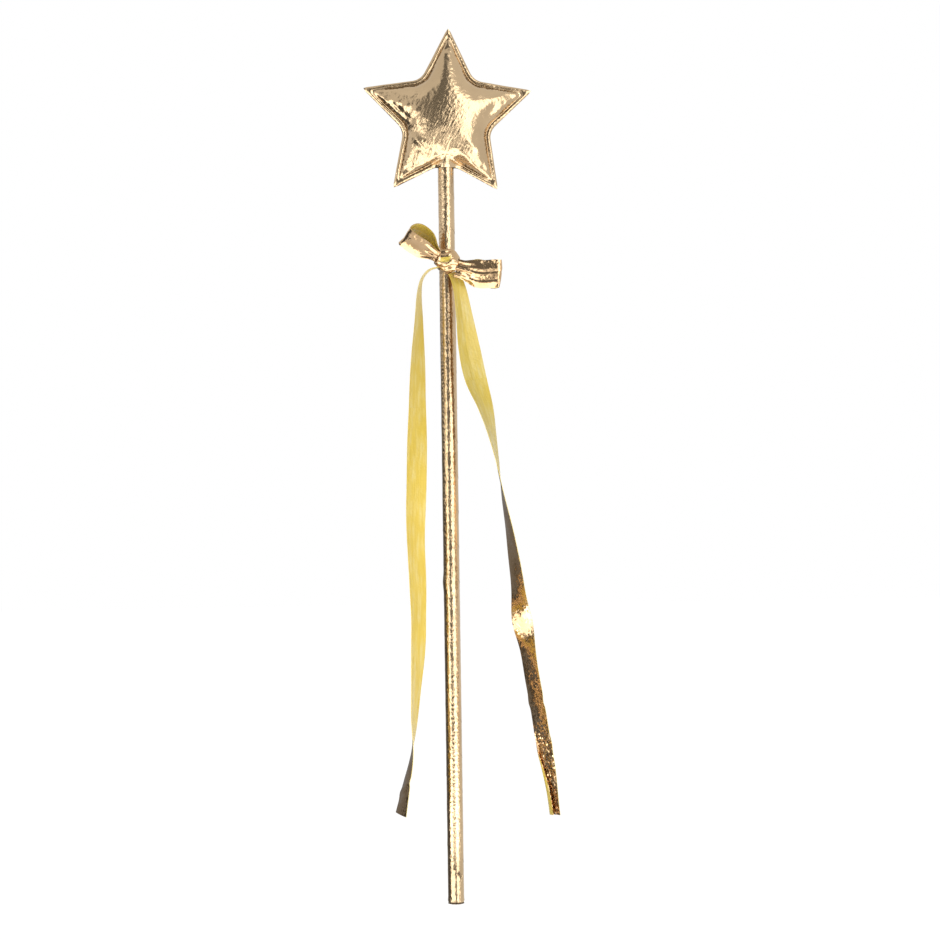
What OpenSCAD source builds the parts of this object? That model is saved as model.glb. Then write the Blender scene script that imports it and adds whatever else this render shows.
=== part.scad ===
// Toy magic wand: a stuffed gold star on a gold wrapped stick, with a ribbon tied in a bow.
// The origin is the middle of the stick's lower end. +Z runs up the stick, and -Y faces the viewer.

/* [Stick] */
// Diameter of the wooden dowel
dowel_d = 8; // [6:0.5:10]
// Height of the star's centre above the lower end of the wand
star_height = 433; // [380:1:500]
// How far the dowel runs on past the centre of the star
dowel_reach = 8; // [0:1:12]
// Chamfer on the upper end of the dowel
dowel_chamfer = 0.5; // [0.2:0.1:1.5]
// Height of the rounded disc that closes the lower end
end_dome_h = 1.2; // [0.6:0.1:2]
// Diameter of the flat middle of that disc
end_flat_d = 5; // [2:0.5:5.5]

/* [Wrapping] */
// Thickness of the gold leathercloth strip
wrap_t = 0.5; // [0.3:0.1:1]
// Rise of the strip in one turn round the stick
wrap_pitch = 19.2; // [17:0.1:26]
// Open seam from one turn to the next, measured along the stick
wrap_seam = 0.6; // [0.6:0.1:2]
// Height of the first turn, which lies level round the lower end
end_turn_h = 17; // [8:1:30]
// How far the wrapping runs on into the star
wrap_tuck = 6; // [3:1:10]
// Place round the stick where the spiral begins, in degrees
wrap_phase = 110; // [0:5:355]

/* [Star] */
// Distance from the centre of the star to a tip
tip_r = 48.4; // [42:0.1:58]
// Distance from the centre of the star to a notch between two arms
notch_r = 25.9; // [21:0.1:30]
// Thickness of the stuffed star at its centre
star_depth = 26; // [20:1:34]
// Turn of the star on the stick, in degrees
star_turn = -1.8; // [-5:0.1:5]
// Distance of the star's centre to the right of the stick
star_shift = 0.9; // [-2:0.1:2]
// Thickness of the leathercloth panels
panel_t = 0.8; // [0.5:0.1:1.2]
// Width of the flat edge outside the seam
flange_w = 2.5; // [2:0.1:4]
// Thickness of the sewing thread
thread_t = 0.4; // [0.2:0.1:0.6]

/* [Ribbon] */
// Width of the ribbon
ribbon_w = 15; // [10:0.5:18]
// Thickness of the ribbon
ribbon_t = 0.5; // [0.3:0.1:0.7]
// Width to which the ribbon is drawn together at the knot
gather_w = 8; // [6:0.5:10]
// Length of the left tail that hangs free, as a share of its route
left_tail_share = 1; // [0.8:0.05:1]
// Length of the right tail that hangs free, as a share of its route
right_tail_share = 1; // [0.8:0.05:1]

/* [Bow] */
// Distance from the centre of the star down to the knot
bow_drop = 80; // [72:1:120]
// Distance of the knot to the right of the stick
knot_shift = 1; // [-2:0.1:2]
// Width of the knot
knot_w = 13; // [11:0.5:16]
// Height of the knot
knot_h = 12; // [10:0.5:15]
// Depth of the knot from front to back
knot_depth = 9; // [7:0.5:12]
// Height of the band of ribbon round the stick
band_h = 8; // [6:0.5:10]
// Thickness of the gathered band
band_t = 1.15; // [0.8:0.05:2]

/* [Clearances] */
// Glue line between the dowel and its wrapping
glue_gap = 0.05; // [0.02:0.01:0.1]
// Gap between the wrapping and the band that slides on it
slide_gap = 0.3; // [0.2:0.05:0.5]
// Gap between soft pieces that lie against each other
soft_gap = 0.3; // [0.2:0.05:0.5]
// Gap where a loop or a tail bends
bend_gap = 0.9; // [0.7:0.05:1.2]

/* [Hidden] */
$fn = 64;

gold = "#c8a878";
pale_gold = "#d8bc90";
satin_yellow = "#e6c850";
bare_wood = "#d8b078";
white_fibre = "#f0f0ea";
thread_gold = "#b89860";

// Stick and wrapping
dowel_r = dowel_d / 2;
wrap_ir = dowel_r + glue_gap;
wrap_or = wrap_ir + wrap_t;
end_flat_r = min(end_flat_d / 2, wrap_or);
end_sphere_z = (pow(wrap_or, 2) + pow(end_dome_h, 2) - pow(end_flat_r, 2)) / (2 * end_dome_h);
end_sphere_r = norm([end_flat_r, end_sphere_z]);
dowel_top = star_height + dowel_reach;
wrap_base = end_dome_h + end_turn_h + wrap_seam;
wrap_top = star_height - notch_r + wrap_tuck;
wrap_rings = 20;
wrap_step = 360 / wrap_rings;
wrap_tongue = 0.8;
wrap_start = 360 * wrap_tongue / wrap_pitch;
wrap_end = 360 * (1 + (wrap_top - wrap_base - wrap_seam - wrap_tongue) / wrap_pitch);
wrap_count = ceil((wrap_end - wrap_start) / wrap_step);

// Star
points_n = 5;
sector = 360 / points_n;
half_sector = sector / 2;
tip_soft = 1.2;
notch_soft = 4;
tip_blunt = 2;
ridge_round = 1.7;
ridge_fall = 0.85;
side_round = 2.5;
side_steep = 0.6;
spoke_offsets = [0, 6, 13, 21, 28, 34, 36, 38, 44, 51, 59, 66];
spokes = [for (k = [0:points_n - 1]) for (o = spoke_offsets) k * sector + o];
spokes_n = len(spokes);
puff_rings = [0.35, 0.6, 0.8, 0.93];
fill_rings = [0.35, 0.6, 0.8];
fill_edge = 0.93;
puff_h = star_depth / 2 - panel_t;
tunnel_half_w = 2.2 * wrap_or;
tunnel_h = 1.12 * (wrap_or + soft_gap / 2);
tunnel_fade = [5, 15];

// Bow: the knot's middle is the point from which the ribbon's routes are measured
band_ir = wrap_or + slide_gap;
band_or = band_ir + band_t;
band_pleats = 3;
band_pleat_depth = band_t / 2;
knot_z = star_height - bow_drop;
knot_y = -(band_or + soft_gap + knot_depth / 2);
knot_at = [knot_shift, knot_y, knot_z];
knot_tilt = 25;
knot_pleats = 4;
knot_pleat_depth = 0.05;
knot_fullness = 1.3;
knot_lats = 12;
knot_lons = 24;

// Loops: each point is [out from the knot, across the loop, along the ribbon's width, tilt in degrees]
left_loop_root = [-0.88, 0, 0.47];
left_loop_out = [-0.76, 0, 0.65];
left_loop_across = [0.49, 0.65, 0.58];
left_loop_route = [
    [0, -0.5, 0, 0], [7, -2.6, 0, 0], [14, -3.6, 0, 0], [19, -3, 0, 0], [22, 0, 0, 0],
    [19, 3, 0, 0], [14, 3.6, 0, 0], [7, 2.6, 0, 0], [0, 0.5, 0, 0]
];
right_loop_drop = 4.2;
right_loop_out = [1, 0, -0.06];
right_loop_across = [0, -1, 0];
right_loop_route = [
    [0, 0.5, 0, 0], [5, 3, 1.5, 0], [11, 4.5, 2, 5], [18, 4.2, 1, 20], [22, 1, 0.5, 25],
    [18, -2, 1.5, 15], [11, -2.5, 2, 5], [5, -1.8, 1.5, 0], [0, -0.5, 0, 0]
];
loop_steps = 3;
loop_gather = 7;

// Tails: each point is [right, back, up from the knot, turn of the ribbon's width about the stick]
left_tail_root = [-0.87, 0, -0.5];
left_tail_route = [
    [-11, 0, -5, 90], [-15, 0, -10, 90], [-16.5, 0, -18, 90],
    [-17, -1, -31, 72], [-18, -2, -50, 58], [-19, -3, -80, 50], [-19.5, -3, -115, 44],
    [-20.5, -2, -150, 50], [-20, -1, -185, 56], [-20.5, -1, -215, 62], [-22.5, -2, -246, 76],
    [-24, -3, -267, 92], [-27, -3, -284, 106], [-31.5, -2, -302, 114]
];
right_tail_root = [0.36, 0, -0.93];
right_tail_back = 2.5;
right_tail_route = [
    [4.3, 2.3, -11, 35], [6, 1.5, -18, 36], [8, 0, -32, 38],
    [10, -1, -48, 36], [13.5, -2, -65, 36], [18.5, -3, -81, 56], [22.5, -3, -97, 74],
    [26.5, -2.5, -120, 90], [29.5, -2, -140, 101], [33, -1.5, -164, 113], [36, -1.5, -190, 120],
    [40, -2, -213, 128], [45, -3, -247, 128], [50, -3, -280, 122], [53, -2, -303, 113]
];
left_swing_at = 3;
left_bend_at = 8;
right_swing_at = 2;
right_bend_at = 8;
tail_steps = 3;
tail_gather = 50;

// Small helpers
function unit(v) = v / norm(v);
function clamp01(x) = min(1, max(0, x));
function ease(x) = let (c = clamp01(x)) c * c * (3 - 2 * c);
function nearest(p, a, b) =
    let (t = clamp01((p - a) * (b - a) / ((b - a) * (b - a))))
    norm(p - a - t * (b - a));

// Smooth curve through a list of points, with u counted in points
function on_route(route, u) =
    let (n = len(route) - 1, i = min(n - 1, max(0, floor(u))), t = u - i)
    let (b = route[i], c = route[i + 1])
    let (a = i > 0 ? route[i - 1] : 2 * b - c, d = i < n - 1 ? route[i + 2] : 2 * c - b)
    b + t / 2 * (c - a) + t * t * (a - 2.5 * b + 2 * c - d / 2) + t * t * t / 2 * (3 * b - 3 * c + d - a);

function xyz(p) = [p[0], p[1], p[2]];

// Faces of a four sided strip whose cross sections are listed ring by ring. Opposite sides are
// divided along matching diagonals, so that they stay parallel where the strip twists
function strip_faces(rings_n) =
    let (last = 4 * (rings_n - 1))
    concat(
        [[0, 2, 1], [0, 3, 2], [last, last + 1, last + 2], [last, last + 2, last + 3]],
        [for (i = [0:rings_n - 2]) for (j = [0:3])
            let (a = 4 * i + j, b = 4 * i + (j + 1) % 4)
            each (j < 2 ? [[a, b, b + 4], [a, b + 4, a + 4]] : [[a, b, a + 4], [b, b + 4, a + 4]])]
    );

// Flat strip from stations of [centre, half of its width as a vector]
module flat_strip(stations) {
    n = len(stations);
    rings = [for (i = [0:n - 1])
        let (ahead = stations[min(n - 1, i + 1)][0], behind = stations[max(0, i - 1)][0])
        let (along = unit(ahead - behind), centre = stations[i][0])
        let (slant = stations[i][1], half_w = slant - (slant * along) * along)
        let (side = norm(slant) / norm(half_w) * half_w, face = ribbon_t / 2 * unit(cross(side, along)))
        [centre - side - face, centre + side - face, centre + side + face, centre - side + face]];
    polyhedron(points = [for (ring = rings) each ring], faces = strip_faces(n));
}

// Star outline: radius of its edge at an angle counted from the lower notch
function from_tip(a) = abs(a % sector - half_sector);
function softened(x, soft) = norm([x, soft]);
function star_line(r, soft_here, soft_there) =
    [sin(soft_here) * r, sin(softened(half_sector, soft_there)) * r];
tip_line = star_line(tip_r, tip_soft, notch_soft);
notch_line = star_line(notch_r, notch_soft, tip_soft);
edge_det = tip_line[1] * notch_line[1] - tip_line[0] * notch_line[0];
sharp_tip_r = edge_det / (sin(half_sector) * (notch_line[1] - tip_line[0]));
sharp_notch_r = edge_det / (sin(half_sector) * (tip_line[1] - notch_line[0]));
function star_edge(a) =
    let (p = softened(from_tip(a), tip_soft), q = softened(half_sector - from_tip(a), notch_soft))
    sharp_tip_r * sharp_notch_r * sin(half_sector) / (sharp_tip_r * sin(p) + sharp_notch_r * sin(q));

// Half angle of an arm at its tip, and the lean of the arm's edge to a spoke so far from the tip's
arm_half = atan2(notch_r * sin(half_sector), tip_r - notch_r * cos(half_sector));
function edge_lean(off_tip) = cos(90 - arm_half - off_tip);
function seam_r(a) = star_edge(a) - flange_w / edge_lean(max(from_tip(a), tip_blunt));
function star_place(a, r) =
    let (at = a - 90 + star_turn) [star_shift + r * cos(at), star_height + r * sin(at)];

// Height of the stuffing under a panel: crowned at the centre, falling along each arm, round to the seam
function puff(a, r) =
    let (ridge = pow(1 - pow(min(1, r / tip_r), ridge_round), ridge_fall))
    let (arm_w = max(panel_t, (tip_r - r) * sin(arm_half)))
    let (inward = clamp01((seam_r(a) - r) * edge_lean(from_tip(a)) / arm_w))
    puff_h * ridge * pow(1 - pow(1 - inward, side_round), side_steep);

// Rise of the panels over the stick where it enters the star
function tunnel(p) =
    let (low = ease((star_height - p[1] - tunnel_fade[0]) / (tunnel_fade[1] - tunnel_fade[0])))
    abs(p[0]) < tunnel_half_w ? low * tunnel_h * pow(cos(90 * p[0] / tunnel_half_w), 2) : 0;
function panel_rise(a, r) = pow(pow(puff(a, r), 4) + pow(tunnel(star_place(a, r)), 4), 0.25);

// One panel's surface: its middle, rings out to the seam, and the edge of the flange
function panel_ring(k, lift) =
    [for (a = spokes)
        let (rows = len(puff_rings), seam = seam_r(a))
        let (r = k < rows ? seam * puff_rings[k] : k == rows ? seam : star_edge(a), p = star_place(a, r))
        [p[0], -panel_rise(a, r) - lift, p[1]]];
panel_rings_n = len(puff_rings) + 2;
function panel_points(lift) =
    concat([[star_shift, -puff_h - lift, star_height]],
        [for (k = [0:panel_rings_n - 1]) each panel_ring(k, lift)]);

// Faces of a surface of rings round a middle point, turned over when flip is true
function turned(f, flip) = flip ? [f[2], f[1], f[0]] : f;
function disc_faces(first, rings_n, flip) =
    concat(
        [for (j = [0:spokes_n - 1])
            turned([first, first + 1 + j, first + 1 + (j + 1) % spokes_n], flip)],
        [for (k = [0:rings_n - 2]) for (j = [0:spokes_n - 1])
            let (base = first + 1 + k * spokes_n, next = (j + 1) % spokes_n)
            each [turned([base + j, base + spokes_n + j, base + spokes_n + next], flip),
                turned([base + j, base + spokes_n + next, base + next], flip)]]
    );
function rim_faces(outer, inner) =
    [for (j = [0:spokes_n - 1]) let (next = (j + 1) % spokes_n)
        each [[outer + j, inner + next, inner + j], [outer + j, outer + next, inner + next]]];

module star_panel() {
    outside = panel_points(panel_t);
    inside = panel_points(0);
    n = len(outside);
    rim = n - spokes_n;
    polyhedron(
        points = concat(outside, inside),
        faces = concat(
            disc_faces(0, panel_rings_n, true),
            disc_faces(n, panel_rings_n, false),
            rim_faces(rim, n + rim)
        )
    );
}

// Row of stitches in the middle of the flange, left open where the stick goes in
module seam_line() {
    clear = [for (a = spokes)
        let (p = star_place(a, star_edge(a)))
        if (abs(p[0]) > tunnel_half_w + thread_t || p[1] > star_height) a];
    middle = [for (a = clear) (seam_r(a) + star_edge(a)) / 2];
    outer = [for (i = [0:len(clear) - 1]) star_place(clear[i], middle[i] + thread_t / 2)];
    inner = [for (i = [len(clear) - 1:-1:0]) star_place(clear[i], middle[i] - thread_t / 2)];
    translate([0, -panel_t, 0])
        rotate([90, 0, 0])
            linear_extrude(thread_t)
                polygon(concat(outer, inner));
}

// Wrapping: heights of the strip's lower and upper edges after a turn of a degrees
function wrap_low(a) = max(wrap_base, wrap_base + wrap_pitch * (a / 360 - 1) + wrap_seam);
function wrap_high(a) = min(wrap_top, wrap_base + wrap_pitch * a / 360);
function wrap_angle(i) = min(wrap_end, wrap_start + i * wrap_step);
function wrap_point(r, a, z) = [r * cos(wrap_phase - a), r * sin(wrap_phase - a), z];
function wrap_ring(a) =
    let (inner = wrap_ir / cos(wrap_step / 2))
    [wrap_point(inner, a, wrap_low(a)), wrap_point(wrap_or, a, wrap_low(a)),
        wrap_point(wrap_or, a, wrap_high(a)), wrap_point(inner, a, wrap_high(a))];

// Least gap of the strip to its own next turn, from each point of one edge to the other edge
wrap_gap = min([for (i = [0:wrap_count - wrap_rings - 3]) for (j = [-2:1])
    let (k = i + wrap_rings + j)
    nearest(wrap_ring(wrap_angle(i))[2], wrap_ring(wrap_angle(k))[1], wrap_ring(wrap_angle(k + 1))[1])]);
echo(least_wrap_gap = wrap_gap);

// Stations of a tail between two places on its route
function tail_half_w(u, route) =
    let (down = norm(xyz(on_route(route, u)) - xyz(route[0])))
    (gather_w + (ribbon_w - gather_w) * ease(down / tail_gather)) / 2;
function tail_station(route, u) =
    let (p = on_route(route, u))
    [knot_at + xyz(p), tail_half_w(u, route) * [cos(p[3]), sin(p[3]), 0]];
function tail_stations(route, from, to) =
    let (n = ceil((to - from) * tail_steps))
    [for (i = [0:n]) tail_station(route, from + (to - from) * i / n)];
function half_gap(route, at) =
    bend_gap / 2 / norm(xyz(on_route(route, at + 0.5)) - xyz(on_route(route, at - 0.5)));
function tail_end(route, share) = (len(route) - 1) * share;

// Stations of a loop, drawn together where both its ends enter the knot
function loop_stations(base, out, across, route) =
    let (n = (len(route) - 1) * loop_steps, width = unit(cross(out, across)))
    [for (i = [0:n])
        let (p = on_route(route, i / loop_steps))
        let (half = (gather_w + (ribbon_w - gather_w) * ease(p[0] / loop_gather)) / 2)
        [base + p[0] * out + p[1] * unit(across) + p[2] * width,
            half * (cos(p[3]) * width + sin(p[3]) * unit(across))]];

// Place beside the knot in a direction across its front, at a gap from its side
function knot_reach(d, gap) =
    let (along = d[0] * cos(knot_tilt) - d[2] * sin(knot_tilt))
    let (up = d[0] * sin(knot_tilt) + d[2] * cos(knot_tilt))
    1 / norm([along * 2 / knot_w, up * 2 / knot_h]) + gap;
function knot_side(d, gap) = knot_reach(unit(d), gap) * unit(d);

// Whole routes of the tails, from the side of the knot down
left_tail = concat([concat(knot_side(left_tail_root, soft_gap), [left_tail_route[0][3]])], left_tail_route);
right_tail = concat(
    [concat(knot_side(right_tail_root, soft_gap) + [0, right_tail_back, 0], [right_tail_route[0][3]])],
    right_tail_route
);

module stick_core() {
    color(bare_wood)
        translate([0, 0, end_dome_h]) {
            length = dowel_top - end_dome_h;
            cylinder(h = length - dowel_chamfer, r = dowel_r);
            translate([0, 0, length - dowel_chamfer])
                cylinder(h = dowel_chamfer, r1 = dowel_r, r2 = dowel_r - dowel_chamfer);
        }
}

module stick_end_disc() {
    color(gold)
        intersection() {
            translate([0, 0, end_sphere_z])
                sphere(r = end_sphere_r);
            cylinder(h = end_dome_h, r = wrap_or);
        }
}

module wrap_end_turn() {
    color(gold)
        translate([0, 0, end_dome_h])
            difference() {
                cylinder(h = end_turn_h, r = wrap_or);
                translate([0, 0, -end_turn_h])
                    cylinder(h = 3 * end_turn_h, r = wrap_ir);
            }
}

module stick_wrap() {
    color(pale_gold)
        polyhedron(
            points = [for (i = [0:wrap_count]) each wrap_ring(wrap_angle(i))],
            faces = strip_faces(wrap_count + 1)
        );
}

module star_filling() {
    rings = [for (k = [0:len(fill_rings)])
        [for (a = spokes)
            let (edge = k == len(fill_rings), r = seam_r(a) * (edge ? fill_edge : fill_rings[k]))
            let (p = star_place(a, r))
            [p[0], edge ? 0 : -max(0, puff(a, r) - soft_gap), p[1]]]];
    rings_n = len(rings);
    front = concat([[star_shift, -puff_h + soft_gap, star_height]], [for (ring = rings) each ring]);
    n = len(front) - spokes_n;
    back = [for (i = [0:n - 1]) [front[i][0], -front[i][1], front[i][2]]];
    shared = len(front);
    back_faces = [for (f = disc_faces(0, rings_n, false)) [for (i = f) i < n ? shared + i : i]];
    color(white_fibre)
        difference() {
            polyhedron(
                points = concat(front, back),
                faces = concat(disc_faces(0, rings_n, true), back_faces)
            );
            cylinder(h = wrap_top + soft_gap, r = wrap_or + soft_gap);
            cylinder(h = dowel_top + soft_gap, r = dowel_r + soft_gap);
        }
}

module star_front_panel() {
    color(gold)
        star_panel();
}

module star_back_panel() {
    color(gold)
        mirror([0, 1, 0])
            star_panel();
}

module seam_needle_thread() {
    color(thread_gold)
        seam_line();
}

module seam_bobbin_thread() {
    color(thread_gold)
        mirror([0, 1, 0])
            seam_line();
}

module ribbon_band() {
    pleat_h = band_h / band_pleats;
    folds = [for (i = [0:2 * band_pleats])
        [band_or - (i % 2 == 0 ? band_pleat_depth : 0), i * pleat_h / 2]];
    color(gold)
        translate([0, 0, knot_z - band_h / 2])
            rotate_extrude()
                polygon(concat([[band_ir, 0]], folds, [[band_ir, band_h]]));
}

module ribbon_knot() {
    half = [knot_w, knot_depth, knot_h] / 2;
    back = half[1];
    function spot(lat, lon) =
        let (pleat = 1 + knot_pleat_depth * cos(lat * knot_pleats * 2) * cos(lat))
        let (full = half[1] * knot_fullness)
        let (p = [half[0] * cos(lat) * cos(lon), full * cos(lat) * sin(lon), half[2] * sin(lat)] * pleat)
        let (x = p[0] * cos(knot_tilt) + p[2] * sin(knot_tilt))
        let (z = p[2] * cos(knot_tilt) - p[0] * sin(knot_tilt))
        [x, max(-back, min(back, p[1])), z];
    lats = [for (i = [1:knot_lats - 1]) 180 * i / knot_lats - 90];
    rings_n = len(lats);
    points = concat([for (lat = lats) for (j = [0:knot_lons - 1]) spot(lat, j * 360 / knot_lons)],
        [spot(-90, 0), spot(90, 0)]);
    south = rings_n * knot_lons;
    last = (rings_n - 1) * knot_lons;
    sides = [for (i = [0:rings_n - 2]) for (j = [0:knot_lons - 1])
        let (a = i * knot_lons + j, b = i * knot_lons + (j + 1) % knot_lons)
        each [[a, a + knot_lons, b + knot_lons], [a, b + knot_lons, b]]];
    caps = [for (j = [0:knot_lons - 1]) let (next = (j + 1) % knot_lons)
        each [[south, j, next], [south + 1, last + next, last + j]]];
    color(gold)
        translate(knot_at)
            polyhedron(points = points, faces = concat(sides, caps));
}

module ribbon_loop_left() {
    out = unit(left_loop_out);
    base = knot_at + knot_side(left_loop_root, bend_gap);
    color(gold)
        flat_strip(loop_stations(base, out, left_loop_across, left_loop_route));
}

module ribbon_loop_right() {
    out = unit(right_loop_out);
    base = knot_at + knot_side([1, 0, 0], soft_gap) - [0, 0, right_loop_drop];
    color(gold)
        flat_strip(loop_stations(base, out, right_loop_across, right_loop_route));
}

module ribbon_tail_left_root() {
    color(satin_yellow)
        flat_strip(tail_stations(left_tail, 0, left_swing_at - half_gap(left_tail, left_swing_at)));
}

module ribbon_tail_left_upper() {
    from = left_swing_at + half_gap(left_tail, left_swing_at);
    to = left_bend_at - half_gap(left_tail, left_bend_at);
    color(satin_yellow)
        flat_strip(tail_stations(left_tail, from, to));
}

module ribbon_tail_left_lower() {
    from = left_bend_at + half_gap(left_tail, left_bend_at);
    color(satin_yellow)
        flat_strip(tail_stations(left_tail, from, tail_end(left_tail, left_tail_share)));
}

module ribbon_tail_right_root() {
    to = right_swing_at - half_gap(right_tail, right_swing_at);
    color(satin_yellow)
        flat_strip(tail_stations(right_tail, 0, to));
}

module ribbon_tail_right_upper() {
    from = right_swing_at + half_gap(right_tail, right_swing_at);
    to = right_bend_at - half_gap(right_tail, right_bend_at);
    color(satin_yellow)
        flat_strip(tail_stations(right_tail, from, to));
}

module ribbon_tail_right_lower() {
    from = right_bend_at + half_gap(right_tail, right_bend_at);
    color(gold)
        flat_strip(tail_stations(right_tail, from, tail_end(right_tail, right_tail_share)));
}

stick_core();
stick_end_disc();
wrap_end_turn();
stick_wrap();
star_filling();
star_front_panel();
star_back_panel();
seam_needle_thread();
seam_bobbin_thread();
ribbon_band();
ribbon_knot();
ribbon_loop_left();
ribbon_loop_right();
ribbon_tail_left_root();
ribbon_tail_left_upper();
ribbon_tail_left_lower();
ribbon_tail_right_root();
ribbon_tail_right_upper();
ribbon_tail_right_lower();
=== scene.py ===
import math

import bpy
import numpy as np
from mathutils import Matrix, Vector
from mathutils.bvhtree import BVHTree
from mathutils.geometry import delaunay_2d_cdt


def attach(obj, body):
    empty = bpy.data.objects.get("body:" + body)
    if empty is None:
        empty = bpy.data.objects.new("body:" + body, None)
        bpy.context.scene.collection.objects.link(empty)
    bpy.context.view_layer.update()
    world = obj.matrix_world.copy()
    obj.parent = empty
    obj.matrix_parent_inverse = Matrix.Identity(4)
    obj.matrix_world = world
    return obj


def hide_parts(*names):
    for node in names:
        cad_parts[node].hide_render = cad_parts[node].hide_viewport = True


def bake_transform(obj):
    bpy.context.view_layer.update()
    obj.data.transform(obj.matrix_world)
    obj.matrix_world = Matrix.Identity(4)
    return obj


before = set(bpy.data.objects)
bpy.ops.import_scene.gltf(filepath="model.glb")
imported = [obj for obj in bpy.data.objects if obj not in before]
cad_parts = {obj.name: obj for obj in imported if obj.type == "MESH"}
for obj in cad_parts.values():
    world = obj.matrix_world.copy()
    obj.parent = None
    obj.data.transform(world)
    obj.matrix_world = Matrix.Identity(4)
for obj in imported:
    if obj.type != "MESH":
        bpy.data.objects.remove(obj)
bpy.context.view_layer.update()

# Studio. A level front view through a long lens on plain white, with the wand leaning slightly in
# the picture. Soft boxes stand to the left and right and one lies low in front. Dark nets hang behind the
# camera, on the left and behind, one lies in front, and the rest of the room is white.
MM = 0.001
scene = bpy.context.scene
scene.view_settings.view_transform = "Standard"


def placed(name, data):
    """New object of the scene, at the origin."""
    made = bpy.data.objects.new(name, data)
    scene.collection.objects.link(made)
    return made


photo_side, photo_px = 940, 0.55 * MM
lens_distance = 1.8
view_centre = (10.95 * MM, 238.6 * MM)
wand_lean = 0.01431
front_lens = bpy.data.cameras.new("front_camera")
front_lens.sensor_width = 36
front_lens.lens = front_lens.sensor_width * lens_distance / (photo_side * photo_px)
front_camera = placed("front_camera", front_lens)
camera_axes = Matrix((
    Vector((1, 0, -wand_lean)).normalized(),
    Vector((wand_lean, 0, 1)).normalized(),
    Vector((0, -1, 0)),
)).transposed()
front_camera.matrix_world = (
    Matrix.Translation((view_centre[0], -lens_distance, view_centre[1])) @ camera_axes.to_4x4()
)
scene.camera = front_camera


def add_node(tree, kind, sockets=(), **settings):
    """Node with its choices set, and its sockets set to values or joined to other sockets."""
    made = tree.nodes.new(kind)
    for key, value in settings.items():
        setattr(made, key, value)
    for key, value in dict(sockets).items():
        if isinstance(value, bpy.types.NodeSocket):
            tree.links.new(value, made.inputs[key])
        else:
            made.inputs[key].default_value = value
    return made


def seen_directly(tree):
    """Socket that is 1 for the camera, for reflections and for light through glass."""
    path = add_node(tree, "ShaderNodeLightPath")
    either = path.outputs["Is Camera Ray"]
    for other in ("Is Glossy Ray", "Is Transmission Ray"):
        largest = add_node(tree, "ShaderNodeMath", {0: either, 1: path.outputs[other]}, operation="MAXIMUM")
        either = largest.outputs[0]
    return either


def show_mixed(tree, share, lit, glow, output):
    """Joins two shaders, mixed by a share, to the output of a tree."""
    mix = add_node(tree, "ShaderNodeMixShader", {0: share, 1: lit.outputs[0], 2: glow.outputs[0]})
    tree.links.new(mix.outputs[0], output.inputs["Surface"])


white = (1, 1, 1, 1)
room = bpy.data.worlds.new("white_room")
scene.world = room
room.use_nodes = True
room_tree = room.node_tree
room_tree.nodes.clear()
show_mixed(
    room_tree, seen_directly(room_tree),
    add_node(room_tree, "ShaderNodeBackground", {"Color": white, "Strength": 0.12}),
    add_node(room_tree, "ShaderNodeBackground", {"Color": white, "Strength": 1.0}),
    add_node(room_tree, "ShaderNodeOutputWorld"),
)


def around(azimuth, distance, height):
    """Place round the wand: azimuth 0 is towards the camera and 90 is to the right."""
    turn = math.radians(azimuth)
    return Vector((distance * math.sin(turn), -distance * math.cos(turn), height))


def soft_box(name, place, target, width, tall, radiance=2.5):
    """Rectangular lamp that faces a point, with the brightness that its face shows."""
    lamp = bpy.data.lights.new(name, "AREA")
    lamp.shape = "RECTANGLE"
    lamp.size = width
    lamp.size_y = tall
    lamp.energy = radiance * math.pi * width * tall
    box = placed(name, lamp)
    box.location = place
    box.rotation_euler = (Vector(target) - box.location).to_track_quat("-Z", "Y").to_euler()
    box.visible_camera = False


soft_box("soft_box_left", around(-51, 0.9, -0.05), (0, 0, -0.05), 0.58, 0.90)
soft_box("soft_box_right", around(30, 0.9, 0.35), (0, 0, 0.35), 0.52, 1.70)
soft_box("soft_box_low", (0, -0.22, 0.02), (0, -0.22, 1), 0.80, 0.32)


def new_finish(name, even):
    """Material with its tree and its Principled shader, whose even values are set by name."""
    finish = bpy.data.materials.new(name)
    finish.use_nodes = True
    shader = finish.node_tree.nodes["Principled BSDF"]
    for key, value in even.items():
        shader.inputs[key].default_value = value
    return finish, finish.node_tree, shader


def stage_sheet(name, corners, grey, alpha=1.0):
    """Flat stage piece of a plain matt grey, with the tree of its paint."""
    mesh = bpy.data.meshes.new(name)
    mesh.from_pydata(corners, [], [(0, 1, 2, 3)])
    paint, tree, matt = new_finish(name, {
        "Base Color": (grey, grey, grey, 1), "Roughness": 1.0, "Specular IOR Level": 0.0, "Alpha": alpha,
    })
    mesh.materials.append(paint)
    sheet = placed(name, mesh)
    return sheet, tree, matt


def scrim(name, corners, through):
    """Dark net that only reflections see, letting a share of the white room through."""
    net = stage_sheet(name, corners, 0.02, 1 - through)[0]
    net.visible_camera = net.visible_shadow = net.visible_diffuse = False


def upright(azimuth, distance, width, low, high):
    """Corners of an upright sheet that faces the wand."""
    middle = around(azimuth, distance, 0)
    side = Vector((math.cos(math.radians(azimuth)), math.sin(math.radians(azimuth)), 0)) * width / 2
    return [(*(middle + edge * side).xy, z) for edge, z in ((-1, low), (1, low), (1, high), (-1, high))]


def level(left, right, near, far, height):
    """Corners of a level sheet."""
    return [(left, near, height), (right, near, height), (right, far, height), (left, far, height)]


scrim("scrim_behind_camera", upright(-10, 2.2, 1.75, -0.3, 4.2), 0.22)
scrim("scrim_left", upright(-97, 1.0, 0.93, -0.6, 0.36), 0.10)
scrim("scrim_behind_left", upright(-150, 1.0, 1.25, -0.6, 0.40), 0.24)
scrim("scrim_low", level(-0.7, 0.25, -0.95, -0.42, -0.25), 0.2)

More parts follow.
